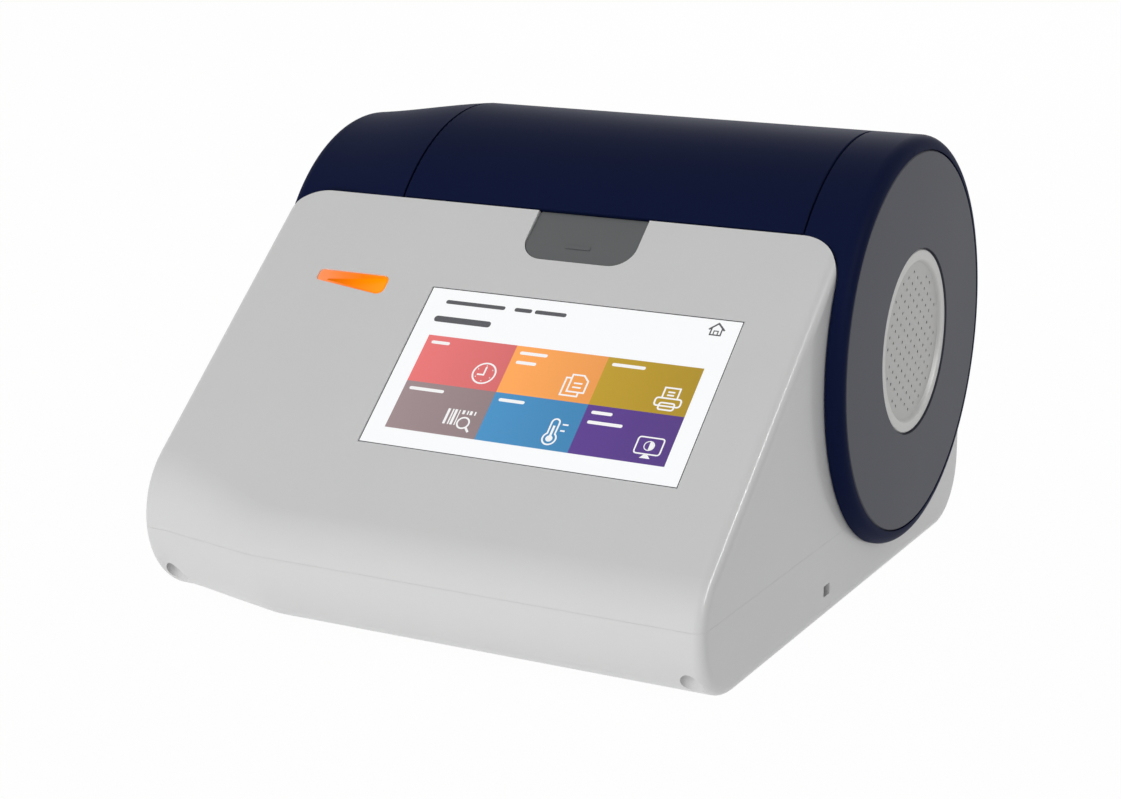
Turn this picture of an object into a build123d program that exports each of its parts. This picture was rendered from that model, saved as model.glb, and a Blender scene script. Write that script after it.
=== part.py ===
from build123d import *
import os
from math import asin, cos, degrees, radians, sin, sqrt, tan

os.makedirs("parts", exist_ok=True)

# Overall form, in mm. Origin is the middle of the underside, +Y points to the back.
drum_radius = 63.0
drum_y = 40.5
drum_z = 74.8
disc_half = 98.5
disc_proud = 5.1
case_half = disc_half - disc_proud
rear_y = drum_y + drum_radius + 0.7
rear_corner = 20.0
rear_top = drum_z + 5.2
foot_height = 2.0
parting_z = 26.0
case_wall = 2.5
skin = 3.0
gap = 0.3
seam = 0.6
parting_gap = 0.04

# Sloping front panel and the rounded toe under it. The toe steps back towards the left side.
front_slope = 40.2
lid_edge_angle = 39.2
toe_y = -104.2
toe_radius = 19.0
toe_left_y = -96.7
toe_left_radius = 26.0
step_end_x = 5.0 - case_half
step_start_x = step_end_x + 42.0
step_ease = 0.14
split_y = -20.0
side_fillet = 3.5
panel_corner = 13.0

# Lid and end caps
lid_left = 44.5 - disc_half
lid_right = disc_half - 18.5
hinge_angle = 150.0
knuckle_radius = 3.0
pin_radius = 1.0
running_gap = 0.05
cap_rim = 4.0
cheek_radius = drum_radius - 9.1
left_cap_radii = [
    (lid_left - seam, drum_radius - 0.1),
    (lid_left - 15.1, drum_radius - 2.0),
    (lid_left - 30.0, drum_radius - 4.3),
    (-disc_half, drum_radius - 6.0),
]
cap_screw_circle = drum_radius - 23.0
plate_radius = drum_radius - 4.5
plate_thickness = 2.0
grille_radius = 28.3
grille_sink = 0.45

# Front panel features, measured along the slope from the lid's edge
window_left = -29.0
window_right = 73.5
window_top = 32.6
window_bottom = 90.85
glass_thickness = 1.6
tab_left = -5.9
tab_right = 31.3
tab_bottom = 18.4
tab_depth = 0.8
lamp_left = -70.0
lamp_right = -44.7
lamp_top = 30.7
lamp_bottom_left = 35.0
lamp_bottom_right = 38.3
lamp_depth = 6.2

# Chamber, rotor and drive
tub_inner = drum_radius - 18.0
tub_wall = 2.0
tub_left = lid_left + 8.0
tub_right = lid_right - 8.0
deck_z = drum_z + 0.4 * drum_radius
rotor_radius = tub_inner - 4.0
rotor_left = tub_left + 12.0
rotor_right = tub_right - 12.0
slot_width = 18.0
shaft_radius = 4.0
bearing_radius = 8.0
bearing_width = 5.0
gear_module = 1.0
gear_teeth = 60
pinion_teeth = 15
gear_left = tub_left - 18.0
gear_width = 6.0
motor_size = 35.2
motor_length = 20.0

board_z = 12.0
board_thickness = 1.6
io_board_y = rear_y - 14.2
io_z = 46.0
jack_x = case_half - 23.4
usb_x = (jack_x - 22.0, jack_x - 44.0)
serial_x = jack_x - 78.0
rocker_x = 31.4 - case_half

normal_y = -sin(radians(front_slope))
normal_z = cos(radians(front_slope))
edge_y = drum_y - drum_radius * cos(radians(lid_edge_angle))
edge_z = drum_z + drum_radius * sin(radians(lid_edge_angle))
hinge_reach = drum_radius - knuckle_radius
hinge_y = drum_y - hinge_reach * cos(radians(hinge_angle))
hinge_z = drum_z + hinge_reach * sin(radians(hinge_angle))
shaft_distance = gear_module * (gear_teeth + pinion_teeth) / 2

drum_axis = Axis((0, drum_y, drum_z), (1, 0, 0))
axis_plane = Plane(origin=(0, drum_y, drum_z), x_dir=(1, 0, 0), z_dir=(0, -1, 0))
panel_plane = Plane(origin=(0, edge_y, edge_z), x_dir=(1, 0, 0), z_dir=(0, normal_y, normal_z))


def drum_point(angle, radius):
    """Point (y, z) at an angle above the front horizontal, around the drum axis."""
    turn = radians(angle)
    return (drum_y - radius * cos(turn), drum_z + radius * sin(turn))


def slope_z(y, inset):
    """Height of the front panel's plane at y, moved inwards by inset."""
    return edge_z + (-inset - normal_y * (y - edge_y)) / normal_z


def box(x0, x1, y0, y1, z0, z1, mode=Mode.ADD):
    with Locations(((x0 + x1) / 2, (y0 + y1) / 2, (z0 + z1) / 2)):
        Box(x1 - x0, y1 - y0, z1 - z0, mode=mode)


def rod_x(x0, x1, y, z, radius, mode=Mode.ADD):
    with Locations(Location(((x0 + x1) / 2, y, z), (0, 90, 0))):
        Cylinder(radius, x1 - x0, mode=mode)


def rod_y(x, y0, y1, z, radius, mode=Mode.ADD):
    with Locations(Location((x, (y0 + y1) / 2, z), (90, 0, 0))):
        Cylinder(radius, y1 - y0, mode=mode)


def rod_z(x, y, z0, z1, radius, mode=Mode.ADD):
    with Locations((x, y, (z0 + z1) / 2)):
        Cylinder(radius, z1 - z0, mode=mode)


def prism_x(points, x0, x1, mode=Mode.ADD):
    """Outline of (y, z) points carried from x0 to x1."""
    with BuildSketch(Plane.YZ.offset(x0)) as outline:
        with BuildLine():
            Polyline(*points, close=True)
        make_face()
    extrude(outline.sketch, amount=x1 - x0, mode=mode)


def turned(points, mode=Mode.ADD):
    """Outline of (x, radius) points turned about the drum axis."""
    with BuildSketch(axis_plane) as outline:
        with BuildLine():
            Polyline(*points, close=True)
        make_face()
    revolve(outline.sketch, axis=drum_axis, mode=mode)


def sector(x0, x1, inner, outer, start, end, mode=Mode.ADD):
    """Curved shell between two angles around the drum axis."""
    middle = (start + end) / 2
    with BuildSketch(Plane.YZ.offset(x0)) as outline:
        with BuildLine():
            ThreePointArc(drum_point(start, outer), drum_point(middle, outer), drum_point(end, outer))
            Line(drum_point(end, outer), drum_point(end, inner))
            ThreePointArc(drum_point(end, inner), drum_point(middle, inner), drum_point(start, inner))
            Line(drum_point(start, inner), drum_point(start, outer))
        make_face()
    extrude(outline.sketch, amount=x1 - x0, mode=mode)


def panel_block(x0, x1, t0, t1, top, bottom, mode=Mode.ADD, corner=0.0):
    """Block on the sloping panel, from depth top to depth bottom below its face."""
    with BuildSketch(panel_plane.offset(-bottom)) as outline:
        with Locations(((x0 + x1) / 2, -(t0 + t1) / 2)):
            if corner > 0:
                RectangleRounded(x1 - x0, t1 - t0, corner)
            else:
                Rectangle(x1 - x0, t1 - t0)
    extrude(outline.sketch, amount=bottom - top, mode=mode)


def toe_section(blend, inset, x):
    """Front part of the case cross-section, between the toe and the split."""
    nose_y = toe_y + (toe_left_y - toe_y) * blend
    upper = toe_radius + (toe_left_radius - toe_radius) * blend
    centre_z = edge_z + (-upper - normal_y * (nose_y + upper - edge_y)) / normal_z
    lower = centre_z - foot_height
    upper_y = nose_y + upper
    lower_y = nose_y + lower
    small = upper - inset
    large = lower - inset
    low = foot_height + inset
    middle = radians((90 - front_slope) / 2)
    with BuildSketch(Plane.YZ.offset(x)) as outline:
        with BuildLine():
            Line((split_y, low), (lower_y, low))
            ThreePointArc(
                (lower_y, low),
                (lower_y - large * sqrt(0.5), centre_z - large * sqrt(0.5)),
                (nose_y + inset, centre_z),
            )
            ThreePointArc(
                (nose_y + inset, centre_z),
                (upper_y - small * cos(middle), centre_z + small * sin(middle)),
                (upper_y + small * normal_y, centre_z + small * normal_z),
            )
            Line(
                (upper_y + small * normal_y, centre_z + small * normal_z),
                (split_y, slope_z(split_y, inset)),
            )
            Line((split_y, slope_z(split_y, inset)), (split_y, low))
        make_face()
    return outline.sketch


def ramp(share):
    """Straight rise from 0 to 1 with a short bend at each end."""
    if share < step_ease:
        rise = share * share / (2 * step_ease)
    elif share > 1 - step_ease:
        rise = 1 - step_ease - (1 - share) ** 2 / (2 * step_ease)
    else:
        rise = share - step_ease / 2
    return rise / (1 - step_ease)


def front_block(inset):
    half = case_half - inset
    extrude(toe_section(1.0, inset, -half), amount=half + step_end_x)
    steps = 10
    sections = []
    for index in range(steps + 1):
        share = index / steps
        sections.append(toe_section(1 - ramp(share), inset, step_end_x + (step_start_x - step_end_x) * share))
    loft(sections)
    extrude(toe_section(0.0, inset, step_start_x), amount=half - step_start_x)


def rear_block(inset, open_top):
    half = case_half - inset
    low = foot_height + inset
    back = rear_y - inset
    centre_y = rear_y - rear_corner
    centre_z = foot_height + rear_corner
    radius = rear_corner - inset
    with BuildSketch(Plane.YZ.offset(-half)) as outline:
        with BuildLine():
            Line((split_y, low), (centre_y, low))
            ThreePointArc(
                (centre_y, low),
                (centre_y + radius * sqrt(0.5), centre_z - radius * sqrt(0.5)),
                (back, centre_z),
            )
            if open_top:
                high = 160.0
                lean_y = edge_y + (-inset - normal_z * (high - edge_z)) / normal_y
                Polyline(
                    (back, centre_z), (back, high), (lean_y, high),
                    (split_y, slope_z(split_y, inset)), (split_y, low),
                )
            else:
                rear_reach = sqrt(cheek_radius ** 2 - (rear_top - drum_z) ** 2)
                Polyline((back, centre_z), (back, rear_top), (drum_y + rear_reach, rear_top))
                ThreePointArc(
                    (drum_y + rear_reach, rear_top),
                    drum_point(100, cheek_radius),
                    drum_point(lid_edge_angle, cheek_radius),
                )
                Polyline(
                    drum_point(lid_edge_angle, cheek_radius), (edge_y, edge_z),
                    (split_y, slope_z(split_y, inset)), (split_y, low),
                )
        make_face()
    extrude(outline.sketch, amount=2 * half)


def on_front(edge):
    """True for the outer side edges, apart from those along the drum."""
    middle = edge @ 0.5
    reach = sqrt((middle.Y - drum_y) ** 2 + (middle.Z - drum_z) ** 2)
    if abs(abs(middle.X) - case_half) > 0.01 or abs((edge @ 0).X - (edge @ 1).X) > 0.01:
        return False
    if middle.Z > rear_top - 0.01 and middle.Y > 0:
        return False
    if abs(middle.Y - split_y) < 0.01 and middle.Z < 100:
        return False
    return reach > cheek_radius + 0.5 and not (middle.Z > edge_z - 6 and middle.Y > edge_y - 3)


def lamp_prism(inset, top, bottom, mode=Mode.ADD):
    """Outline of the lamp window moved inwards, from depth top to depth bottom."""
    with BuildSketch(panel_plane.offset(-bottom)) as outline:
        with BuildLine():
            Polyline(
                (lamp_left + inset, -lamp_top - inset), (lamp_right - inset, -lamp_top - inset),
                (lamp_right - inset, -lamp_bottom_right + inset),
                (lamp_left + inset, -lamp_bottom_left + inset), close=True,
            )
        make_face()
        fillet(outline.vertices().sort_by(Axis.X)[:2], 1.3 - inset / 2)
        fillet(outline.vertices().sort_by(Axis.X)[-2:], 2.4 - inset / 2)
    extrude(outline.sketch, amount=bottom - top, mode=mode)


with BuildPart() as envelope:
    front_block(0.0)
    rear_block(0.0, False)
    side_edges = envelope.edges().filter_by(on_front)
    fillet(side_edges, side_fillet)

with BuildPart() as cavity:
    front_block(case_wall)
    rear_block(case_wall, True)

with BuildPart() as tongue_core:
    front_block(case_wall + 1.5)
    rear_block(case_wall + 1.5, True)

with BuildPart() as tongue_ring:
    front_block(case_wall + gap)
    rear_block(case_wall + gap, True)
    add(tongue_core.part, mode=Mode.SUBTRACT)
    split(bisect_by=Plane.XY.offset(parting_z - 3), keep=Keep.TOP)
    split(bisect_by=Plane.XY.offset(parting_z + 2), keep=Keep.BOTTOM)

with BuildPart() as tongue_root:
    add(envelope.part)
    add(tongue_core.part, mode=Mode.SUBTRACT)
    split(bisect_by=Plane.XY.offset(parting_z - 3), keep=Keep.TOP)
    split(bisect_by=Plane.XY.offset(parting_z - parting_gap), keep=Keep.BOTTOM)


def corner_prism(side, radius):
    """Region outside the rounded upper corner of the front panel."""
    centre_x = side * (case_half - panel_corner)
    with BuildSketch(panel_plane.offset(-9)) as outline:
        with Locations((centre_x + side * 7, -panel_corner / 2 + 1)):
            Rectangle(14, panel_corner + 2)
        with Locations((centre_x, -panel_corner)):
            Circle(radius, mode=Mode.SUBTRACT)
    extrude(outline.sketch, amount=12)


with BuildPart() as corner_cut:
    corner_prism(1, panel_corner)
    corner_prism(-1, panel_corner)
    rod_x(-disc_half, disc_half, drum_y, drum_z, cheek_radius, mode=Mode.SUBTRACT)

# Region that the white case takes away from the two end caps
with BuildPart() as case_relief:
    below = rear_top + gap
    turn = radians(lid_edge_angle)
    meet_y = drum_y - (below - drum_z) / tan(turn)
    shift = seam
    prism_x(
        [
            (meet_y - shift * sin(turn), below),
            (meet_y - 110 * cos(turn), below + 110 * sin(turn) + shift),
            (-180, below), (-180, -40), (150, -40), (150, below),
        ],
        -case_half - gap, case_half + gap,
    )
    with BuildPart(mode=Mode.PRIVATE) as kept_corner:
        corner_prism(1, panel_corner + gap)
        corner_prism(-1, panel_corner + gap)
    add(kept_corner.part, mode=Mode.SUBTRACT)

# Case screws: the two front counterbores break out through the underside of the toe
screw_spots = [
    (case_half - 5.8, toe_y + 6.8),
    (7.2 - case_half, toe_left_y + 7.1),
    (case_half - 11.4, rear_y - 20.2),
    (11.4 - case_half, rear_y - 20.2),
]
counterbore_radius = 3.3
boss_radius = 5.2
screw_hole = 1.7
screw_top = 34.0
board_x = (-40.0, 78.0)
board_y = (-70.0, 20.0)
board_holes = [(x, y) for x in (-36, 74) for y in (-66, 16)]
slot_y = -15.4
slot_z = 11.0

with BuildPart() as lower_case:
    add(envelope.part)
    add(cavity.part, mode=Mode.SUBTRACT)
    split(bisect_by=Plane.XY.offset(parting_z - parting_gap), keep=Keep.BOTTOM)
    with BuildPart(mode=Mode.PRIVATE) as tongue:
        add(tongue_ring.part)
        for x, y in screw_spots:
            rod_z(x, y, parting_z - 4, parting_z + 4, boss_radius + gap, mode=Mode.SUBTRACT)
        box(-case_half, case_half, rear_y - 24.2, rear_y - 16.2, parting_z - parting_gap, parting_z + 4,
            mode=Mode.SUBTRACT)
    add(tongue.part)
    add(tongue_root.part)
    with BuildPart(mode=Mode.PRIVATE) as columns:
        for x, y in screw_spots:
            rod_z(x, y, foot_height, parting_z - parting_gap, boss_radius)
        for x, y in board_holes:
            rod_z(x, y, foot_height + 1, board_z, 3.0)
        add(envelope.part, mode=Mode.INTERSECT)
    add(columns.part)
    for x, y in screw_spots:
        rod_z(x, y, foot_height - 5, parting_z - 6, counterbore_radius, mode=Mode.SUBTRACT)
        rod_z(x, y, foot_height - 5, parting_z + 5, screw_hole, mode=Mode.SUBTRACT)
    for x, y in board_holes:
        rod_z(x, y, board_z - 6, board_z + 1, 1.25, mode=Mode.SUBTRACT)
    for x in (-72, 72):
        for y in (-58, 62):
            rod_z(x, y, foot_height - 1, foot_height + 0.8, 5.2, mode=Mode.SUBTRACT)
    # Anchor slot for a security cable, in the right side wall
    with BuildSketch(Plane.YZ.offset(case_half - 6)):
        with Locations((slot_y, slot_z)):
            RectangleRounded(4.8, 3.4, 0.5)
    extrude(amount=8, mode=Mode.SUBTRACT)
    # Cooling slots in the floor
    for index in range(9):
        x = -20 + index * 8
        with BuildSketch(Plane.XY.offset(foot_height - 1)):
            with Locations((x, 48)):
                SlotOverall(34, 2.4, rotation=90)
        extrude(amount=6, mode=Mode.SUBTRACT)
lower_case.part.label = "lower_case"

io_openings = [
    (jack_x, 9.4, 11.4),
    (usb_x[0], 15.2, 7.4),
    (usb_x[1], 15.2, 7.4),
    (serial_x, 31.4, 13.0),
    (rocker_x, 26.0, 18.0),
]

with BuildPart() as upper_housing:
    add(envelope.part)
    add(cavity.part, mode=Mode.SUBTRACT)
    split(bisect_by=Plane.XY.offset(parting_z), keep=Keep.TOP)
    # Ledge under the lid's front edge
    ledge_turn = radians(lid_edge_angle)
    inner_y, inner_z = drum_point(lid_edge_angle, drum_radius - 8.0)
    outer_y, outer_z = drum_point(lid_edge_angle, drum_radius - 0.4)
    ledge = 2.2
    prism_x(
        [
            (inner_y, inner_z), (outer_y, outer_z),
            (outer_y - ledge * sin(ledge_turn), outer_z - ledge * cos(ledge_turn)),
            (inner_y - ledge * sin(ledge_turn), inner_z - ledge * cos(ledge_turn)),
        ],
        -case_half + 1, case_half - 1,
    )
    add(corner_cut.part, mode=Mode.SUBTRACT)
    # Screw columns
    with BuildPart(mode=Mode.PRIVATE) as pillars:
        for x, y in screw_spots:
            rod_z(x, y, parting_z, screw_top + 14, boss_radius)
            if y > 0:
                web = sorted((x, x * (case_half - 1) / abs(x)))
                box(web[0], web[1], y - 2, y + 2, parting_z, screw_top + 14)
        add(envelope.part, mode=Mode.INTERSECT)
    add(pillars.part)
    # Shelves that close the gap between the rear wall and the two end caps
    shelf_y = rear_y - 12.2
    box(-case_half + 1, lid_left - seam, shelf_y, rear_y - 1, rear_top - 2.2, rear_top)
    box(lid_right + seam, case_half - 1, shelf_y, rear_y - 1, rear_top - 2.2, rear_top)
    for x, y in screw_spots:
        rod_z(x, y, parting_z - 1, screw_top, 1.25, mode=Mode.SUBTRACT)
    # Display opening with a ledge for the glass
    panel_block(window_left, window_right, window_top, window_bottom, -3, glass_thickness,
                mode=Mode.SUBTRACT, corner=0.4)
    panel_block(window_left + 2.5, window_right - 2.5, window_top + 2.5, window_bottom - 2.5, -3, 8,
                mode=Mode.SUBTRACT)
    # Opening for the grey finger dish, open at the lid's edge
    panel_block(tab_left, tab_right, -8, tab_bottom, -3, 7.0, mode=Mode.SUBTRACT, corner=7.5)
    lamp_prism(0.0, -3, 8, mode=Mode.SUBTRACT)
    # Openings in the rear wall
    for x, width, height in io_openings:
        box(x - width / 2, x + width / 2, rear_y - 5, rear_y + 5, io_z - height / 2, io_z + height / 2,
            mode=Mode.SUBTRACT)
    for index in range(20):
        x = -42 + index * 6
        box(x - 1.2, x + 1.2, rear_y - 5, rear_y + 5, io_z + 12, io_z + 25, mode=Mode.SUBTRACT)
    # Speaker opening in the right cheek and screw holes for both end caps
    rod_x(case_half - 6, case_half + 2, drum_y, drum_z, 22, mode=Mode.SUBTRACT)
    for side in (-1, 1):
        for angle in (70, 130, 190):
            y, z = drum_point(angle, cap_screw_circle)
            x0 = min(side * (case_half - 6), side * (case_half + 2))
            rod_x(x0, x0 + 8, y, z, 1.7, mode=Mode.SUBTRACT)
upper_housing.part.label = "upper_housing"

lid_middle = (lid_left + lid_right) / 2
knuckle_spots = [
    (lid_left + 8.0, lid_left + 16.0),
    (lid_middle - 4.0, lid_middle + 4.0),
    (lid_right - 16.0, lid_right - 8.0),
]
magnet_spots = [lid_left + 10.0, lid_right - 10.0]
skin_inner = drum_radius - 2.5
# Wide enough for the lid's outer edge to swing past the rear cover
clear_radius = knuckle_radius + 1.2
lid_start = lid_edge_angle + degrees(seam / drum_radius)

with BuildPart() as lid:
    sector(lid_left, lid_right, drum_radius - skin, drum_radius, lid_start, hinge_angle)
    rims = lid.edges().filter_by(GeomType.CIRCLE)
    rims = rims.filter_by(lambda edge: abs(edge.radius - drum_radius) < 0.01)
    fillet(rims, 0.4)
    rod_x(lid_left, lid_right, hinge_y, hinge_z, knuckle_radius)
    for x0, x1 in ((lid_left, lid_left + 2), (lid_right - 2, lid_right)):
        sector(x0, x1, skin_inner - 4.0, skin_inner, lid_start + 1, 132)
    sector(lid_left, lid_right, skin_inner - 2.3, skin_inner, 62, 64)
    # Magnet pads near the front edge
    for x in magnet_spots:
        sector(x - 5, x + 5, skin_inner - 5.0, skin_inner, lid_start, lid_start + 5.5)
        sector(x - 3, x + 3, skin_inner - 4.1, skin_inner - 1.1, lid_start - 1, lid_start + 3,
               mode=Mode.SUBTRACT)
    # Grip groove behind the edge above the dish
    sector(tab_left + 6, tab_right - 6, skin_inner - 1, drum_radius - 1.4, lid_start + 1.4, lid_start + 5,
           mode=Mode.SUBTRACT)
    for x0, x1 in knuckle_spots:
        rod_x(x0 - gap, x1 + gap, hinge_y, hinge_z, clear_radius, mode=Mode.SUBTRACT)
        rod_x(x0 - 7, x1 + 7, hinge_y, hinge_z, pin_radius + running_gap, mode=Mode.SUBTRACT)
lid.part.label = "lid"

cover_end = 180 - degrees(asin((rear_top + gap - drum_z) / drum_radius))

with BuildPart() as rear_cover:
    sector(lid_left, lid_right, drum_radius - skin, drum_radius, hinge_angle, cover_end)
    rod_x(lid_left - 1, lid_right + 1, hinge_y, hinge_z, clear_radius, mode=Mode.SUBTRACT)
    for x0, x1 in knuckle_spots:
        sector(x0, x1, skin_inner - 3.0, drum_radius - 0.02, hinge_angle, hinge_angle + 5)
        rod_x(x0, x1, hinge_y, hinge_z, knuckle_radius)
        rod_x(x0 - 1, x1 + 1, hinge_y, hinge_z, pin_radius + running_gap, mode=Mode.SUBTRACT)
    # Lip tucked behind the rear wall, and two ribs
    back_face = rear_y - case_wall - gap
    box(lid_left + 4, lid_right - 4, back_face - 2.5, back_face, rear_top - 5, rear_top + 3)
    for x in (-20.0, 46.0):
        sector(x - 1, x + 1, skin_inner - 4.0, skin_inner, hinge_angle + 5, cover_end)
rear_cover.part.label = "rear_cover"

with BuildPart() as hinge_pins:
    for x0, x1 in knuckle_spots:
        rod_x(x0 - 6.5, x1 + 6.5, hinge_y, hinge_z, pin_radius)
hinge_pins.part.label = "hinge_pins"

with BuildPart() as lid_magnets:
    for x in magnet_spots:
        sector(x - 2.9, x + 2.9, skin_inner - 4.0, skin_inner - 1.2, lid_start + 0.05, lid_start + 2.9)
lid_magnets.part.label = "lid_magnets"

plate_seat = disc_half - plate_thickness
cap_inner = case_half + gap
# The caps' inner webs are open below the deck as far as this, short of their rear skin
cap_web_end = drum_y + drum_radius - 8.5

with BuildPart() as right_end_cap:
    rod_x(lid_right + seam, disc_half, drum_y, drum_z, drum_radius)
    rim = right_end_cap.faces().sort_by(Axis.X)[-1].edges()
    fillet(rim, cap_rim)
    rod_x(lid_right + seam + 2, cap_inner, drum_y, drum_z, drum_radius - skin, mode=Mode.SUBTRACT)
    rod_x(plate_seat, disc_half + 1, drum_y, drum_z, plate_radius + 0.2, mode=Mode.SUBTRACT)
    add(case_relief.part, mode=Mode.SUBTRACT)
    box(lid_right, lid_right + 2.8, -40, cap_web_end, 0, deck_z - 2, mode=Mode.SUBTRACT)
    rod_x(cap_inner - 1, disc_half, drum_y, drum_z, 19.0, mode=Mode.SUBTRACT)
    for angle in (70, 130, 190):
        y, z = drum_point(angle, cap_screw_circle)
        rod_x(cap_inner - 1, plate_seat - 0.4, y, z, 1.25, mode=Mode.SUBTRACT)
right_end_cap.part.label = "right_end_cap"


def cap_turn(drop, mode):
    """Tapered drum body of the left end, drop mm inside its outer surface."""
    reach = [(x, radius - drop) for x, radius in left_cap_radii]
    if drop > 0:
        reach[0] = (reach[0][0] + -2.0, reach[0][1])
        reach[-1] = (-cap_inner, reach[-1][1] + 0.6)
    with BuildSketch(axis_plane) as outline:
        with BuildLine():
            Spline(*reach)
            Polyline(reach[-1], (reach[-1][0], 0), (reach[0][0], 0), reach[0])
        make_face()
    revolve(outline.sketch, axis=drum_axis, mode=mode)


with BuildPart() as left_end_cap:
    cap_turn(0.0, Mode.ADD)
    rim = left_end_cap.faces().sort_by(Axis.X)[0].edges()
    fillet(rim, cap_rim)
    cap_turn(skin, Mode.SUBTRACT)
    add(case_relief.part, mode=Mode.SUBTRACT)
    box(lid_left - seam - 2.2, lid_left, -40, cap_web_end, 0, deck_z - 2, mode=Mode.SUBTRACT)
    for angle in (70, 130, 190):
        y, z = drum_point(angle, cap_screw_circle)
        rod_x(-disc_half + 1.5, -cap_inner + 1, y, z, 1.25, mode=Mode.SUBTRACT)
left_end_cap.part.label = "left_end_cap"

grille_boss = 26.0
with BuildPart() as right_end_plate:
    turned([
        (plate_seat + 0.02, 0), (plate_seat + 0.02, plate_radius), (disc_half - 0.5, plate_radius),
        (disc_half, plate_radius - 0.5), (disc_half, 0),
    ])
    rod_x(plate_seat + 1.0, disc_half + 1, drum_y, drum_z, grille_radius + 0.5, mode=Mode.SUBTRACT)
    rod_x(plate_seat - 1, disc_half + 1, drum_y, drum_z, grille_boss + 0.4, mode=Mode.SUBTRACT)
right_end_plate.part.label = "right_end_plate"

# Speaker grille: a dished disc with a slanted grid of fine holes
grille_face = disc_half - grille_sink
grille_back = plate_seat + 1.02
hole_step_a = (3.25, -2.34)
hole_step_b = (-1.44, -3.36)
hole_field = 21.8
hole_radius = 0.5
grille_dish = 1.0

with BuildPart() as speaker_grille:
    turned([
        (grille_back, 0), (grille_back, grille_radius), (grille_face - 0.3, grille_radius),
        (grille_face, grille_radius - 0.3), (grille_face, 0),
    ])
    rod_x(grille_back - 1.0, grille_back + 0.01, drum_y, drum_z, grille_boss)
    turned([(grille_face + 0.01, 0), (grille_face + 0.01, 25.2), (grille_face - grille_dish, 24.2),
            (grille_face - grille_dish, 0)], mode=Mode.SUBTRACT)
    spots = []
    for a in range(-12, 13):
        for b in range(-12, 13):
            y = a * hole_step_a[0] + b * hole_step_b[0]
            z = a * hole_step_a[1] + b * hole_step_b[1]
            if y * y + z * z < hole_field ** 2:
                spots.append((drum_y + y, drum_z + z))
    with BuildSketch(Plane.YZ.offset(grille_back - 2)):
        with Locations(*spots):
            Circle(hole_radius)
    extrude(amount=6, mode=Mode.SUBTRACT)
speaker_grille.part.label = "speaker_grille"

speaker_front = cap_inner + 0.0
with BuildPart() as speaker:
    turned([
        (speaker_front - 0.1, 19.5), (speaker_front - 0.1, 21.5), (speaker_front - 2.0, 21.5),
        (speaker_front - 8.0, 12.0), (speaker_front - 8.0, 10.0), (speaker_front - 13.0, 10.0),
        (speaker_front - 13.0, 0), (speaker_front - 7.2, 0), (speaker_front - 6.2, 6.0),
        (speaker_front - 1.2, 18.8),
    ])
speaker.part.label = "speaker"

with BuildPart() as finger_dish:
    depth = 5.2
    clear = 0.25
    panel_block(tab_left + clear, tab_right - clear, -4.5, tab_bottom - clear, 0.25, depth,
                corner=7.2)
    # Only the part in front of the lid's ledge line stays
    cut_turn = radians(lid_edge_angle)
    prism_x(
        [
            (edge_y, edge_z), (edge_y + 40 * cos(cut_turn), edge_z - 40 * sin(cut_turn)),
            (edge_y + 60, edge_z + 40), (edge_y, edge_z + 40),
        ],
        tab_left - 2, tab_right + 2, mode=Mode.SUBTRACT,
    )
    # Shallow scoop, deepest at the lid's edge
    scoop = (tab_bottom ** 2 + tab_depth ** 2) / (2 * tab_depth)
    rise = scoop - tab_depth
    scoop_y = edge_y + normal_y * rise
    scoop_z = edge_z + normal_z * rise
    rod_x(tab_left - 1, tab_right + 1, scoop_y, scoop_z, scoop, mode=Mode.SUBTRACT)
    panel_block(7.7, 16.3, 11.8, 13.2, 0.18, 2.0, corner=0.65)
finger_dish.part.label = "finger_dish"

with BuildPart() as display_glass:
    slack = 0.25
    panel_block(window_left + slack, window_right - slack, window_top + slack, window_bottom - slack,
                0, glass_thickness - 0.02, corner=0.3)
display_glass.part.label = "display_glass"

module_top = case_wall + 0.1
module_bottom = module_top + 3.2
with BuildPart() as display_module:
    panel_block(window_left - 1.4, window_right + 1.4, window_top - 1.0, window_bottom + 1.0,
                module_top, module_bottom, corner=0.8)
    panel_block(window_left + 2.9, window_right - 2.9, window_top + 2.9, window_bottom - 2.9,
                glass_thickness + 0.1, module_top)
display_module.part.label = "display_module"

with BuildPart() as display_bracket:
    frame_top = module_bottom + 0.1
    panel_block(window_left - 6, window_right + 6, window_top - 1, window_bottom + 1, frame_top,
                frame_top + 1.2)
    panel_block(window_left + 8, window_right - 8, window_top + 8, window_bottom - 8, frame_top - 1,
                frame_top + 3, mode=Mode.SUBTRACT)
    for x in (window_left - 4, window_right + 4):
        for t in (window_top + 6, window_bottom - 6):
            panel_block(x - 2, x + 2, t - 3, t + 3, case_wall + 0.05, frame_top + 0.5)
display_bracket.part.label = "display_bracket"

with BuildPart() as display_screws:
    for x in (window_left - 4, window_right + 4):
        for t in (window_top + 6, window_bottom - 6):
            with BuildSketch(panel_plane.offset(-frame_top - 1.22 - 1.4)):
                with Locations((x, -t)):
                    Circle(1.8)
            extrude(amount=1.4)
display_screws.part.label = "display_screws"

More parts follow.
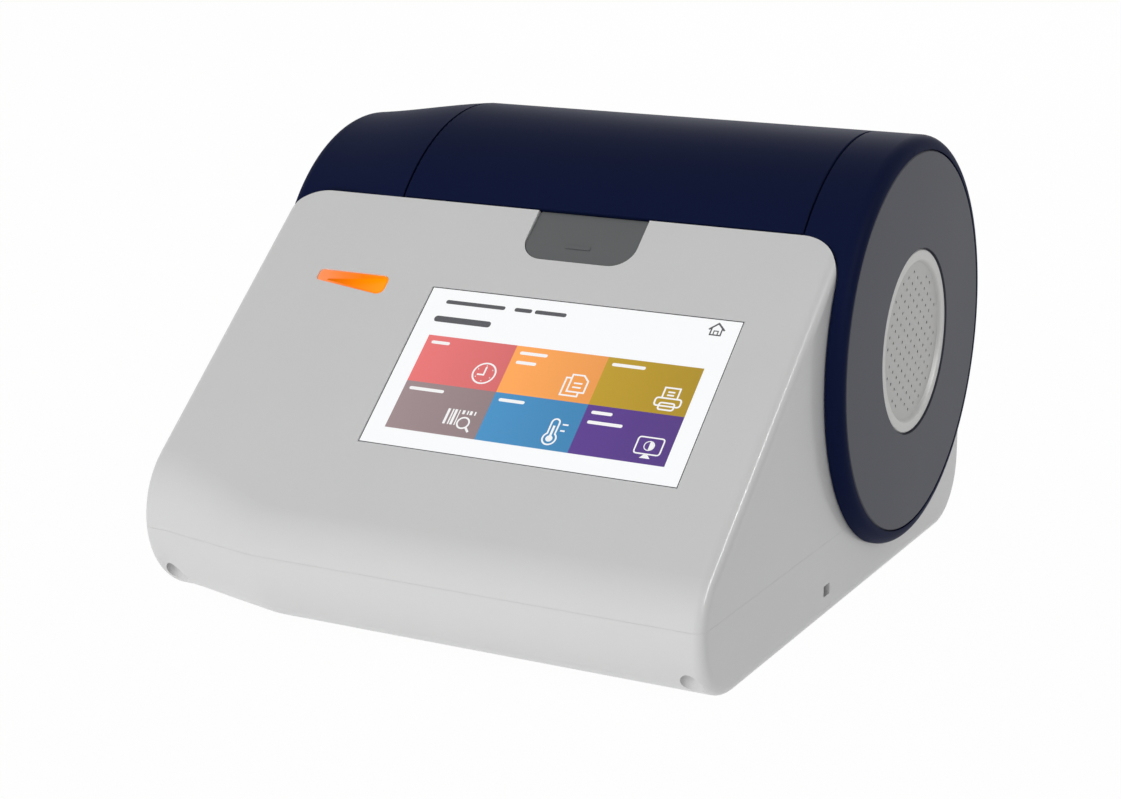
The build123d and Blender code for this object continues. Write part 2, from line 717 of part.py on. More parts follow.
with BuildPart() as lamp_lens:
    lamp_prism(0.2, 0.3, lamp_depth)
    panel_block(lamp_left - 3, lamp_right + 3, lamp_top - 3, lamp_bottom_right + 3, case_wall + 0.1,
                lamp_depth)
    # Hollow face whose floor climbs from the left end to the right end
    with BuildPart(mode=Mode.PRIVATE) as lamp_hollow:
        lamp_prism(0.8, -1, lamp_depth)
        with BuildPart(mode=Mode.PRIVATE) as above_floor:
            with BuildSketch(panel_plane * Plane.XZ):
                with BuildLine():
                    Polyline((lamp_left - 2, 3), (lamp_left - 2, -4.6), (lamp_left + 4, -4.2),
                             (lamp_right + 2, -0.6), (lamp_right + 2, 3), close=True)
                make_face()
            extrude(amount=60, both=True)
        add(above_floor.part, mode=Mode.INTERSECT)
    add(lamp_hollow.part, mode=Mode.SUBTRACT)
lamp_lens.part.label = "lamp_lens"

with BuildPart() as lamp_board:
    panel_block(lamp_left - 2, lamp_right + 2, lamp_top - 2, lamp_bottom_right + 2, lamp_depth + 1.3,
                lamp_depth + 2.5)
    for x in (lamp_left + 5, (lamp_left + lamp_right) / 2, lamp_right - 5):
        panel_block(x - 1.4, x + 1.4, lamp_top + 1.5, lamp_top + 3.7, lamp_depth + 0.2, lamp_depth + 1.4)
lamp_board.part.label = "lamp_board"


def trough(x0, x1, radius, top, mode=Mode.ADD):
    """Trough: half circle below the axis and straight walls above it."""
    with BuildSketch(Plane.YZ.offset(x0)) as outline:
        with BuildLine():
            Line((drum_y - radius, top), (drum_y - radius, drum_z))
            ThreePointArc(
                (drum_y - radius, drum_z), (drum_y, drum_z - radius), (drum_y + radius, drum_z),
            )
            Polyline((drum_y + radius, drum_z), (drum_y + radius, top), (drum_y - radius, top))
        make_face()
    extrude(outline.sketch, amount=x1 - x0, mode=mode)


optics_x = 13.0
optics_half = 15.0
optics_depth = 22.0

with BuildPart() as chamber_tub:
    trough(tub_left, tub_right, tub_inner + tub_wall, deck_z + 2)
    deck_front = drum_y - drum_radius + 11.5
    deck_rear = drum_y + drum_radius - 15.3
    box(lid_left + 1, lid_right - 1, deck_front, deck_rear, deck_z, deck_z + 2)
    trough(tub_left + tub_wall, tub_right - tub_wall, tub_inner, deck_z + 5, mode=Mode.SUBTRACT)
    # Bearing seats in both end walls
    for x0, x1 in ((tub_left - 4, tub_left + tub_wall), (tub_right - tub_wall, tub_right + 4)):
        rod_x(x0, x1, drum_y, drum_z, bearing_radius + 2.5)
    rod_x(tub_left - 4.5, tub_left + 1.2, drum_y, drum_z, bearing_radius + 0.02, mode=Mode.SUBTRACT)
    rod_x(tub_right - 1.2, tub_right + 4.5, drum_y, drum_z, bearing_radius + 0.02, mode=Mode.SUBTRACT)
    rod_x(tub_left - 5, tub_left + 4, drum_y, drum_z, 6.0, mode=Mode.SUBTRACT)
    rod_x(tub_right - 4, tub_right + 5, drum_y, drum_z, 6.0, mode=Mode.SUBTRACT)
    # Light path to the optics and four legs down to the lower case
    rod_y(optics_x, drum_y - tub_inner - 7.5, drum_y - tub_inner + 8.5, drum_z, 3.0, mode=Mode.SUBTRACT)
    for x in (tub_left + 6, tub_right - 6):
        for y in (drum_y - 10.5, drum_y + 10.5):
            with BuildPart(mode=Mode.PRIVATE) as leg:
                box(x - 4, x + 4, y - 4, y + 4, foot_height + case_wall + 0.02, drum_z - 20)
                rod_x(tub_left - 1, tub_right + 1, drum_y, drum_z, tub_inner + 1, mode=Mode.SUBTRACT)
            add(leg.part)
chamber_tub.part.label = "chamber_tub"

with BuildPart() as bearings:
    for x0 in (tub_left - 4, tub_right - 1):
        rod_x(x0, x0 + bearing_width, drum_y, drum_z, bearing_radius)
        rod_x(x0 - 1, x0 + bearing_width + 1, drum_y, drum_z, shaft_radius + running_gap,
              mode=Mode.SUBTRACT)
bearings.part.label = "bearings"

with BuildPart() as rotor:
    half_slot = slot_width / 2
    slot_floor = drum_z - 22
    with BuildSketch(Plane.YZ.offset(rotor_left)):
        with Locations((drum_y, drum_z)):
            Circle(rotor_radius)
            Circle(rotor_radius - 2.5, mode=Mode.SUBTRACT)
            with Locations((0, 8)):
                Rectangle(slot_width + 5, 62)
        with Locations((drum_y, drum_z)):
            Circle(rotor_radius + 0.0, mode=Mode.INTERSECT)
    extrude(amount=rotor_right - rotor_left)
    box(rotor_left - 1, rotor_right + 1, drum_y - half_slot, drum_y + half_slot, slot_floor, drum_z + 60,
        mode=Mode.SUBTRACT)
    rod_x(rotor_left - 3, rotor_left, drum_y, drum_z, rotor_radius)
    rod_x(rotor_right, rotor_right + 3, drum_y, drum_z, rotor_radius)
    # Guide lips that narrow the mouth of the slot at both ends
    for x0, x1 in ((rotor_left, rotor_left + 10), (rotor_right - 10, rotor_right)):
        for side in (-1, 1):
            y = drum_y + side * (half_slot - 1)
            box(x0, x1, y - 1.2, y + 1.2, slot_floor + 4, drum_z + 30)
    rod_x(gear_left - 1.5, rotor_left - 2, drum_y, drum_z, shaft_radius)
    rod_x(rotor_right + 2, tub_right + 6, drum_y, drum_z, shaft_radius)
rotor.part.label = "rotor"


def gear_points(teeth, centre_y, centre_z, phase):
    """Toothed outline with straight flanks and a little backlash."""
    pitch = gear_module * teeth / 2
    tip = pitch + 0.9 * gear_module
    root = pitch - 1.25 * gear_module
    lean = tan(radians(20))
    half = 0.62 * gear_module
    points = []
    for tooth in range(teeth):
        middle = radians(phase + tooth * 360 / teeth)
        for radius, sign in ((root, -1), (tip, -1), (tip, 1), (root, 1)):
            wide = half - (radius - pitch) * lean
            angle = middle + sign * wide / radius
            points.append((centre_y + radius * cos(angle), centre_z + radius * sin(angle)))
    return points


with BuildPart() as rotor_gear:
    prism_x(gear_points(gear_teeth, drum_y, drum_z, 180 / gear_teeth), gear_left, gear_left + gear_width)
    rod_x(gear_left + gear_width - 0.1, gear_left + gear_width + 3, drum_y, drum_z, 8.0)
    rod_x(gear_left - 1, gear_left + gear_width + 4, drum_y, drum_z, shaft_radius + 0.02,
          mode=Mode.SUBTRACT)
    for index in range(6):
        angle = radians(30 + 60 * index)
        rod_x(gear_left - 1, gear_left + gear_width + 1, drum_y + 18 * cos(angle),
              drum_z + 18 * sin(angle), 5.5, mode=Mode.SUBTRACT)
rotor_gear.part.label = "rotor_gear"

motor_y = drum_y
motor_z = drum_z - shaft_distance
motor_right = gear_left - 4.0
motor_left = motor_right - motor_length

with BuildPart() as motor_pinion:
    prism_x(gear_points(pinion_teeth, motor_y, motor_z, 90), gear_left, gear_left + gear_width)
    rod_x(motor_right + 0.6, gear_left + gear_width + 2, motor_y, motor_z, 2.5)
motor_pinion.part.label = "motor_pinion"

with BuildPart() as motor:
    half_motor = motor_size / 2
    box(motor_left, motor_right - 2.2, motor_y - half_motor, motor_y + half_motor, motor_z - half_motor,
        motor_z + half_motor)
    chamfer(motor.edges().filter_by(Axis.X), 3.0)
    rod_x(motor_right - 2.3, motor_right - 0.2, motor_y, motor_z, 11.0)
    rod_x(motor_right - 6, motor_right + 1, motor_y, motor_z, 3.2, mode=Mode.SUBTRACT)
motor.part.label = "motor"

with BuildPart() as motor_bracket:
    box(motor_right - 2.1, motor_right - 0.1, motor_y - 22, motor_y + 22, foot_height + case_wall + 0.02,
        motor_z + 20)
    box(motor_right - 2.1, motor_right + 9, motor_y - 22, motor_y + 22, foot_height + case_wall + 0.02,
        foot_height + case_wall + 2.0)
    rod_x(motor_right - 4, motor_right + 2, motor_y, motor_z, 11.2, mode=Mode.SUBTRACT)
motor_bracket.part.label = "motor_bracket"

optics_y = drum_y - tub_inner - tub_wall - 0.1
optics_clear = 0.8
with BuildPart() as optics_block:
    box(optics_x - optics_half, optics_x + optics_half, optics_y - optics_depth, optics_y,
        drum_z - 14, drum_z + 12)
    rod_y(optics_x, optics_y - optics_depth - 1, optics_y + 2, drum_z, 5.0, mode=Mode.SUBTRACT)
    rod_x(optics_x - optics_half - 1, optics_x, optics_y - optics_depth / 2, drum_z, 3.0,
          mode=Mode.SUBTRACT)
    # The upper front corner keeps clear of the display's bracket
    panel_block(optics_x - 20, optics_x + 20, 0, 120, -40, frame_top + 1.2 + optics_clear,
                mode=Mode.SUBTRACT)
optics_block.part.label = "optics_block"

with BuildPart() as optics_lens:
    rod_y(optics_x, optics_y - 6.0, optics_y - 3.0, drum_z, 4.98)
optics_lens.part.label = "optics_lens"

with BuildPart() as detector_board:
    board_face = optics_y - optics_depth - 0.1
    box(optics_x - optics_half + 2, optics_x + optics_half - 2, board_face - 1.6, board_face,
        drum_z - 12, drum_z + 10)
    panel_block(optics_x - 20, optics_x + 20, 0, 120, -40, frame_top + 1.2 + optics_clear,
                mode=Mode.SUBTRACT)
    box(optics_x - 2, optics_x + 2, board_face - 0.1, board_face + 1.5, drum_z - 2, drum_z + 2)
detector_board.part.label = "detector_board"

with BuildPart() as heater_plate:
    heater_y = drum_y + tub_inner + tub_wall
    box(-14, 40, heater_y + 0.02, heater_y + 2.0, deck_z - 23.2, deck_z - 3.2)
heater_plate.part.label = "heater_plate"

with BuildPart() as temperature_sensor:
    box(44, 50, heater_y + 0.02, heater_y + 1.6, deck_z - 17.2, deck_z - 13.2)
temperature_sensor.part.label = "temperature_sensor"

board_top = board_z + board_thickness
with BuildPart() as main_board:
    box(board_x[0], board_x[1], board_y[0], board_y[1], board_z + 0.02, board_top)
    for x, y in board_holes:
        rod_z(x, y, board_z - 1, board_top + 1, 1.6, mode=Mode.SUBTRACT)
main_board.part.label = "main_board"

with BuildPart() as board_chips:
    chips = [
        (10, -35, 14, 14, 1.4), (36, -38, 10, 8, 1.2), (-16, -30, 8, 8, 1.2), (60, -20, 12, 6, 6.0),
        (-28, -5, 6, 18, 5.0), (0, 5, 20, 6, 5.0), (44, -58, 24, 5, 2.4), (62, -44, 6, 6, 7.0),
    ]
    for x, y, width, depth_y, tall in chips:
        box(x - width / 2, x + width / 2, y - depth_y / 2, y + depth_y / 2, board_top + 0.02,
            board_top + tall)
board_chips.part.label = "board_chips"

with BuildPart() as coin_cell:
    rod_z(-22, -52, board_top + 0.5, board_top + 3.7, 10.0)
coin_cell.part.label = "coin_cell"

with BuildPart() as board_screws:
    for x, y in board_holes:
        rod_z(x, y, board_top + 0.02, board_top + 1.8, 2.6)
        rod_z(x, y, board_z - 4, board_top + 0.1, 1.24)
board_screws.part.label = "board_screws"

with BuildPart() as io_board:
    box(serial_x - 20, jack_x + 10, io_board_y, io_board_y + 1.6, io_z - 16, io_z + 16)
io_board.part.label = "io_board"

io_front = io_board_y + 1.62
with BuildPart() as dc_jack:
    box(jack_x - 4.4, jack_x + 4.4, io_front, rear_y - 0.2, io_z - 5.4, io_z + 5.4)
    rod_y(jack_x, rear_y - 9, rear_y + 1, io_z, 3.1, mode=Mode.SUBTRACT)
    rod_y(jack_x, rear_y - 9.5, rear_y - 0.8, io_z, 1.05)
dc_jack.part.label = "dc_jack"

with BuildPart() as usb_ports:
    for x in usb_x:
        box(x - 7.2, x + 7.2, io_front, rear_y - 0.1, io_z - 3.3, io_z + 3.3)
        box(x - 6.2, x + 6.2, rear_y - 9, rear_y + 1, io_z - 2.5, io_z + 2.5, mode=Mode.SUBTRACT)
        box(x - 5.2, x + 5.2, rear_y - 9.5, rear_y - 1, io_z - 0.2, io_z + 1.8)
usb_ports.part.label = "usb_ports"

with BuildPart() as serial_port:
    box(serial_x - 15.4, serial_x + 15.4, io_front, rear_y - 0.5, io_z - 6.2, io_z + 6.2)
    box(serial_x - 15.5, serial_x + 15.5, rear_y - 6.0, rear_y, io_z - 6.3, io_z + 6.3, mode=Mode.SUBTRACT)
    with BuildSketch(Plane.XZ.offset(-rear_y + 0.2)):
        with Locations((serial_x, io_z)):
            RectangleRounded(17.0, 8.4, 2.2)
            RectangleRounded(15.8, 7.2, 1.8, mode=Mode.SUBTRACT)
    extrude(amount=6.0)
    with BuildSketch(Plane.XZ.offset(-rear_y + 0.8)):
        with Locations(*[(serial_x + 2.77 * (index - 2), io_z + 1.4) for index in range(5)]):
            Circle(0.5)
        with Locations(*[(serial_x + 2.77 * (index - 1.5), io_z - 1.4) for index in range(4)]):
            Circle(0.5)
    extrude(amount=6.0)
serial_port.part.label = "serial_port"

rocker_y = rear_y - 4.9
pivot_radius = 1.2
with BuildPart() as rocker_body:
    box(rocker_x - 10.5, rocker_x + 10.5, rear_y - 18, rear_y - 0.1, io_z - 6.5, io_z + 6.5)
    box(rocker_x - 12.7, rocker_x + 12.7, rear_y - 1.6, rear_y - 0.1, io_z - 8.7, io_z + 8.7)
    box(rocker_x - 9.0, rocker_x + 9.0, rear_y - 12, rear_y + 3, io_z - 5.2, io_z + 5.2, mode=Mode.SUBTRACT)
    rod_z(rocker_x, rocker_y, io_z - 6.1, io_z + 6.1, pivot_radius + running_gap, mode=Mode.SUBTRACT)
rocker_body.part.label = "rocker_body"

# The rocker is stored switched off, with its left end pressed in
rocker_tilt = 8.0
with BuildPart() as rocker:
    with BuildSketch(Plane.XY.offset(io_z - 4.9)):
        with BuildLine():
            Polyline((-8.2, -1.0), (-8.2, 3.4), (0, 2.4), (8.2, 3.4), (8.2, -1.0), (0, -4.0), close=True)
        make_face()
    extrude(amount=9.8)
    rod_z(0, 0, io_z - 5.9, io_z + 5.9, pivot_radius)
rocker_part = rocker.part.rotate(Axis((0, 0, 0), (0, 0, 1)), rocker_tilt)
rocker_part = rocker_part.moved(Location((rocker_x, rocker_y, 0)))
rocker_part.label = "rocker"

with BuildPart() as feet:
    for x in (-72, 72):
        for y in (-58, 62):
            rod_z(x, y, 0, foot_height + 0.75, 5.0)
feet.part.label = "feet"

with BuildPart() as case_screws:
    for x, y in screw_spots:
        rod_z(x, y, parting_z - 8.6, parting_z - 6.02, 2.8)
        rod_z(x, y, parting_z - 6.1, screw_top - 1, 1.24)
        rod_z(x, y, parting_z - 9, parting_z - 7.6, 1.0, mode=Mode.SUBTRACT)
case_screws.part.label = "case_screws"

with BuildPart() as cap_screws:
    for side in (-1, 1):
        for angle in (70, 130, 190):
            y, z = drum_point(angle, cap_screw_circle)
            head = sorted((side * (case_half - case_wall - 1.8), side * (case_half - case_wall - 0.02)))
            shank = sorted((side * (case_half - case_wall - 0.1), side * (plate_seat - 0.6)))
            rod_x(head[0], head[1], y, z, 2.6)
            rod_x(shank[0], shank[1], y, z, 1.24)
cap_screws.part.label = "cap_screws"

with BuildPart() as lid_sensor:
    box(lid_left + 4, lid_left + 12, deck_front + 2, deck_front + 8, deck_z + 2.02, deck_z + 5.0)
lid_sensor.part.label = "lid_sensor"

with BuildPart() as display_cable:
    cable_top = frame_top + 1.3
    panel_block(14, 30, 60, 92, cable_top, cable_top + 0.2)
    low_y = edge_y - 92 / 1.0 * cos(radians(front_slope)) - (cable_top + 0.2) * normal_y
    low_z = edge_z - 92 / 1.0 * sin(radians(front_slope)) - (cable_top + 0.2) * normal_z
    box(14, 30, low_y, low_y + 0.25, board_top + 2.6, low_z + 0.4)
display_cable.part.label = "display_cable"

pieces = [
    lower_case.part, upper_housing.part, lid.part, rear_cover.part, hinge_pins.part, lid_magnets.part,
    right_end_cap.part, left_end_cap.part, right_end_plate.part, speaker_grille.part, speaker.part,
    finger_dish.part, display_glass.part, display_module.part, display_bracket.part,
    display_screws.part, lamp_lens.part, lamp_board.part, chamber_tub.part, bearings.part, rotor.part,
    rotor_gear.part, motor_pinion.part, motor.part, motor_bracket.part, optics_block.part,
    optics_lens.part, detector_board.part, heater_plate.part, temperature_sensor.part,
    main_board.part, board_chips.part, coin_cell.part, board_screws.part, io_board.part,
    dc_jack.part, usb_ports.part, serial_port.part, rocker_body.part, rocker_part, feet.part,
    case_screws.part, cap_screws.part, lid_sensor.part, display_cable.part,
]
for piece in pieces:
    export_step(piece, "parts/" + piece.label + ".step")
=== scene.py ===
import math
import bmesh
import bpy
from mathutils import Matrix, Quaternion, Vector


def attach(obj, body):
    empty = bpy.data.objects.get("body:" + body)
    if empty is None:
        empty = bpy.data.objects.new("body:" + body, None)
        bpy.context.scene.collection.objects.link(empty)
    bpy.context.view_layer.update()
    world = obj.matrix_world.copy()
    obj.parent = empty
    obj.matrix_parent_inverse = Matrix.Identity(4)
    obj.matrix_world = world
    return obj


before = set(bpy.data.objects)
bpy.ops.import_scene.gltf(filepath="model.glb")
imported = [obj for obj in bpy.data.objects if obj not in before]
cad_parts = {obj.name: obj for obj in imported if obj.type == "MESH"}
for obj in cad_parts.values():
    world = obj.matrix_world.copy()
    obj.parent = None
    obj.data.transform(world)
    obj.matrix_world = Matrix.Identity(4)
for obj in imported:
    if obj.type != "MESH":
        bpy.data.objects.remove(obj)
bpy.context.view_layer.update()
print("frame loaded", len(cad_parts), "nodes")

mm = 0.001
# the lid's drum, in millimetres
drumShape = {"y": 40.5, "z": 74.8, "radius": 63, "edgeAngle": math.radians(39.2)}


# shader maths
class Wire:
    def __init__(self, maker, socket):
        self.maker = maker
        self.socket = socket

    def join(self, operation, first, second):
        return self.maker.add("ShaderNodeMath", {"operation": operation}, {0: first, 1: second})

    def __add__(self, other):
        return self.join("ADD", self, other)

    def __radd__(self, other):
        return self.join("ADD", other, self)

    def __sub__(self, other):
        return self.join("SUBTRACT", self, other)

    def __mul__(self, other):
        return self.join("MULTIPLY", self, other)

    def __truediv__(self, other):
        return self.join("DIVIDE", self, other)

    def largest(self, other):
        return self.join("MAXIMUM", self, other)

    def clamp(self, low=0.0, high=1.0):
        return self.join("MINIMUM", self.join("MAXIMUM", self, low), high)


class Graph:
    def __init__(self, tree):
        self.tree = tree
        tree.nodes.clear()

    def plug(self, socket, value):
        if isinstance(value, Wire):
            self.tree.links.new(value.socket, socket)
        else:
            socket.default_value = value

    def add(self, kind, settings, values, out=0):
        node = self.tree.nodes.new(kind)
        for key, setting in settings.items():
            if key == "stops":
                ramp = node.color_ramp
                ramp.elements[0].position, ramp.elements[0].color = setting[0]
                ramp.elements[1].position, ramp.elements[1].color = setting[-1]
                for place, colour in setting[1:-1]:
                    ramp.elements.new(place).color = colour
            else:
                setattr(node, key, setting)
        for key, value in values.items():
            self.plug(node.inputs[key], value)
        return Wire(self, node.outputs[out]) if node.outputs else None


class Finish(Graph):
    def __init__(self, name, mixWith=None):
        self.material = bpy.data.materials.new(name)
        self.material.use_nodes = True
        super().__init__(self.material.node_tree)
        surface = self.add("ShaderNodeBsdfPrincipled", {}, {})
        self.shader = surface.socket.node
        self.add("ShaderNodeOutputMaterial", {}, {0: mixWith(self, surface) if mixWith else surface})

    def set(self, **values):
        for key, value in values.items():
            self.plug(self.shader.inputs[key.replace("_", " ")], value)

    def place(self):
        return self.add("ShaderNodeTexCoord", {}, {}, out=3)

    def along(self, axis):
        return self.add("ShaderNodeSeparateXYZ", {}, {0: self.place()}, out=axis)

    def noise(self, scale, detail=3.0, rough=0.5):
        return self.add("ShaderNodeTexNoise", {},
                        {"Vector": self.place(), "Scale": scale, "Detail": detail, "Roughness": rough})

    def blend(self, share, first, second):
        return self.add("ShaderNodeMix", {"data_type": "RGBA"}, {0: share, 6: first, 7: second}, out=2)

    def bump(self, height, strength, distance):
        normal = self.add("ShaderNodeBump", {},
                          {"Strength": strength, "Distance": distance, "Height": height})
        self.plug(self.shader.inputs["Normal"], normal)


def tone(red, green, blue):  # screen colour 0-255 to the shader's linear colour
    linear = []
    for value in (red, green, blue):
        share = value / 255
        linear.append(share / 12.92 if share < 0.04045 else ((share + 0.055) / 1.055) ** 2.4)
    return (*linear, 1.0)


def shade(colour, factor):
    return (colour[0] * factor, colour[1] * factor, colour[2] * factor, 1.0)


moulding = {"cloudScale": 38.0, "wipeScale": 9.0, "wipeRough": 0.10, "speckRough": 0.08,
            "relief": 0.00008, "coatRough": 0.15}
sheet = {"stainScale": 60.0, "dark": 0.88, "light": 1.06, "streakRough": 0.16,
         "grainDepth": 0.08, "relief": 0.00006}
glow = {"dotScale": 1400.0, "dotShade": 0.015, "unlit": 0.03, "rough": 0.35, "dotRough": 0.05}


def plasticFinish(name, colour, rough, grain=2600.0, grainDepth=0.06, mottle=0.04, coat=0.0):
    made = Finish(name)
    cloud = made.noise(moulding["cloudScale"], 4.0)
    speck = made.noise(grain, 2.0, 0.6)
    wipe = made.noise(moulding["wipeScale"], 2.0)
    patches = (cloud * 1.6 - 0.3).clamp()
    wear = (wipe - 0.5) * moulding["wipeRough"] + (speck - 0.5) * moulding["speckRough"]
    made.set(Base_Color=made.blend(patches, shade(colour, 1 - mottle), shade(colour, 1 + mottle)),
             Roughness=(rough + wear).clamp(0.05, 0.95),
             Coat_Weight=coat, Coat_Roughness=moulding["coatRough"])
    made.bump(speck, grainDepth, moulding["relief"])
    return made


def metalFinish(name, colour, rough, scratch=900.0):
    made = Finish(name)
    streak = made.noise(scratch, 3.0, 0.7)
    stain = made.noise(sheet["stainScale"], 3.0)
    made.set(Base_Color=made.blend(stain, shade(colour, sheet["dark"]), shade(colour, sheet["light"])),
             Metallic=1.0, Roughness=(rough + (streak - 0.5) * sheet["streakRough"]).clamp(0.08, 0.9))
    made.bump(streak, sheet["grainDepth"], sheet["relief"])
    return made


# lean fades the colour between two places along x, low and high
def glowFinish(name, colour, strength, lean=0.0, low=0.0, high=1.0):
    made = Finish(name)
    dots = made.noise(glow["dotScale"], 2.0)
    if lean:
        share = ((made.along("X") - low * mm) / ((high - low) * mm)).clamp()
        tint = made.blend(share, shade(colour, 1 + lean), shade(colour, 1 - lean))
    else:
        tint = made.blend(dots, shade(colour, 1 - glow["dotShade"]), shade(colour, 1 + glow["dotShade"]))
    made.set(Base_Color=shade(colour, glow["unlit"]), Specular_IOR_Level=0.0,
             Roughness=glow["rough"] + (dots - 0.5) * glow["dotRough"],
             Emission_Color=tint, Emission_Strength=strength)
    return made


case = {"colour": tone(213, 213, 213), "rough": 0.42, "coat": 0.4}
whiteCase = plasticFinish("whiteCase", case["colour"], case["rough"], mottle=0.012, grainDepth=0.03,
                          coat=case["coat"])

drum = {"colour": tone(17, 25, 56), "rough": 0.5, "specular": 0.02}
navyDrum = plasticFinish("navyDrum", drum["colour"], drum["rough"], mottle=0.04, grainDepth=0.05)
navyDrum.set(Specular_IOR_Level=drum["specular"])

# painted reflection: the end plate's slate grey stands in for the navy face's grazing sheen of the bright
# surroundings, painted into its base colour
disc = {"colour": tone(60, 62, 73), "rough": 0.48, "specular": 0.25}
paintedReflectionDisc = plasticFinish("paintedReflectionDisc", disc["colour"], disc["rough"], mottle=0.05, grainDepth=0.10)
paintedReflectionDisc.set(Specular_IOR_Level=disc["specular"])

# painted light: the grille's rim is painted lighter (painted highlight) and its dished field darker (painted
# shade), by distance from the drum's axis
grille = {"colour": tone(203, 203, 201), "rough": 0.42, "fieldPaintedShade": 0.88, "rimPaintedHighlight": 1.16,
          "rimInner": 24.6, "rimGain": 30000.0}
silverGrille = plasticFinish("silverGrille", grille["colour"], grille["rough"], mottle=0.03)
fromAxisY = silverGrille.along("Y") - drumShape["y"] * mm
fromAxisZ = silverGrille.along("Z") - drumShape["z"] * mm
radiusSquared = fromAxisY * fromAxisY + fromAxisZ * fromAxisZ
rimHighlightShare = ((radiusSquared - (grille["rimInner"] * mm) ** 2) * grille["rimGain"]).clamp()
silverGrille.set(Base_Color=silverGrille.blend(rimHighlightShare, shade(grille["colour"], grille["fieldPaintedShade"]),
                                               shade(grille["colour"], grille["rimPaintedHighlight"])),
                 Metallic=0.1)

dish = {"colour": tone(84, 87, 88), "rough": 0.36}
greyDish = plasticFinish("greyDish", dish["colour"], dish["rough"], mottle=0.05, grainDepth=0.1)

# plastics, boards and metals of the inner parts
blackMould = plasticFinish("blackMould", tone(34, 34, 36), 0.5, mottle=0.08, grainDepth=0.12)
darkTrough = plasticFinish("darkTrough", tone(46, 48, 52), 0.55, mottle=0.07, grainDepth=0.12)
rotorMould = plasticFinish("rotorMould", tone(62, 64, 68), 0.5, mottle=0.07, grainDepth=0.12)
acetalGear = plasticFinish("acetalGear", tone(222, 218, 206), 0.38, mottle=0.03)
solderMask = plasticFinish("solderMask", tone(22, 88, 52), 0.3, grain=700.0, mottle=0.15, coat=0.3)
amberFilm = plasticFinish("amberFilm", tone(168, 98, 30), 0.3, mottle=0.1)
footRubber = plasticFinish("footRubber", tone(52, 52, 54), 0.8, grain=1500.0, grainDepth=0.3, mottle=0.1)
speakerPaper = plasticFinish("speakerPaper", tone(40, 40, 42), 0.75, grain=1200.0, grainDepth=0.3,
                             mottle=0.15)
platedSteel = metalFinish("platedSteel", tone(188, 188, 190), 0.3)
zincSheet = metalFinish("zincSheet", tone(170, 174, 180), 0.38, 500.0)
cutBrass = metalFinish("cutBrass", tone(206, 172, 98), 0.28)
anodised = metalFinish("anodised", tone(50, 50, 54), 0.45)
milled = metalFinish("milled", tone(196, 198, 200), 0.32, 1500.0)
lacquered = plasticFinish("lacquered", tone(36, 36, 38), 0.35, mottle=0.05, coat=0.3)

coverGlass = Finish("coverGlass")
smear = coverGlass.noise(25.0, 4.0)
coverGlass.set(Base_Color=(0.9, 0.92, 0.94, 1.0), Roughness=(0.04 + smear * 0.05).clamp(0.02, 0.2),
               Alpha=(0.02 + smear * 0.02).clamp(), Specular_IOR_Level=0.3)
lensGlass = Finish("lensGlass")
haze = lensGlass.noise(80.0, 3.0)
lensGlass.set(Base_Color=(0.9, 0.93, 0.95, 1.0), Roughness=0.03 + haze * 0.03,
              Alpha=(0.3 + haze * 0.05).clamp())

nodeFinish = {
    "lower_case": whiteCase, "upper_housing": whiteCase, "lid": navyDrum, "rear_cover": navyDrum,
    "right_end_cap": navyDrum, "left_end_cap": navyDrum, "right_end_plate": paintedReflectionDisc,
    "speaker_grille": silverGrille, "speaker": speakerPaper, "finger_dish": greyDish,
    "display_glass": coverGlass, "display_module": blackMould, "display_bracket": zincSheet,
    "display_screws": platedSteel, "lamp_board": solderMask, "chamber_tub": darkTrough,
    "bearings": platedSteel, "rotor": rotorMould, "rotor_gear": acetalGear, "motor_pinion": cutBrass,
    "motor": lacquered, "motor_bracket": zincSheet, "optics_block": anodised, "optics_lens": lensGlass,
    "detector_board": solderMask, "heater_plate": milled, "temperature_sensor": blackMould,
    "main_board": solderMask, "board_chips": blackMould, "coin_cell": platedSteel,
    "board_screws": platedSteel, "io_board": solderMask, "dc_jack": blackMould, "usb_ports": platedSteel,
    "serial_port": platedSteel, "rocker_body": blackMould, "rocker": blackMould, "feet": footRubber,
    "case_screws": platedSteel, "cap_screws": platedSteel, "lid_sensor": blackMould,
    "display_cable": amberFilm, "hinge_pins": platedSteel, "lid_magnets": platedSteel,
}


def dress(item, finish):
    item.data.materials.clear()
    item.data.materials.append(finish.material)


for name, finish in nodeFinish.items():
    dress(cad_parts[name], finish)
print("finishes on the frame's own pieces")

# the sloping panel: x to the right, t down the slope from the lid's edge, depth under its face
slope = {"edgeY": drumShape["y"] - drumShape["radius"] * math.cos(drumShape["edgeAngle"]),
         "edgeZ": drumShape["z"] + drumShape["radius"] * math.sin(drumShape["edgeAngle"]),
         "angle": math.radians(40.2)}


def onPanel(x, t, depth=0.0):
    y = slope["edgeY"] - t * math.cos(slope["angle"]) + depth * math.sin(slope["angle"])
    z = slope["edgeZ"] - t * math.sin(slope["angle"]) - depth * math.cos(slope["angle"])
    return Vector((x * mm, y * mm, z * mm))


def newPiece(name, mesh, finish, body="housing"):
    item = bpy.data.objects.new(name, mesh)
    bpy.context.scene.collection.objects.link(item)
    dress(item, finish)
    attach(item, body)


# thin solids from outlines on the panel
def flatPiece(name, outlines, depth, thick, finish):
    work = bmesh.new()
    for outline in outlines:
        top = [work.verts.new(onPanel(x, t, depth)) for x, t in outline]
        low = [work.verts.new(onPanel(x, t, depth + thick)) for x, t in outline]
        work.faces.new(top)
        work.faces.new(list(reversed(low)))
        count = len(outline)
        for index in range(count):
            after = (index + 1) % count
            work.faces.new((top[after], top[index], low[index], low[after]))
    bmesh.ops.recalc_face_normals(work, faces=work.faces)
    mesh = bpy.data.meshes.new(name)
    work.to_mesh(mesh)
    work.free()
    newPiece(name, mesh, finish)


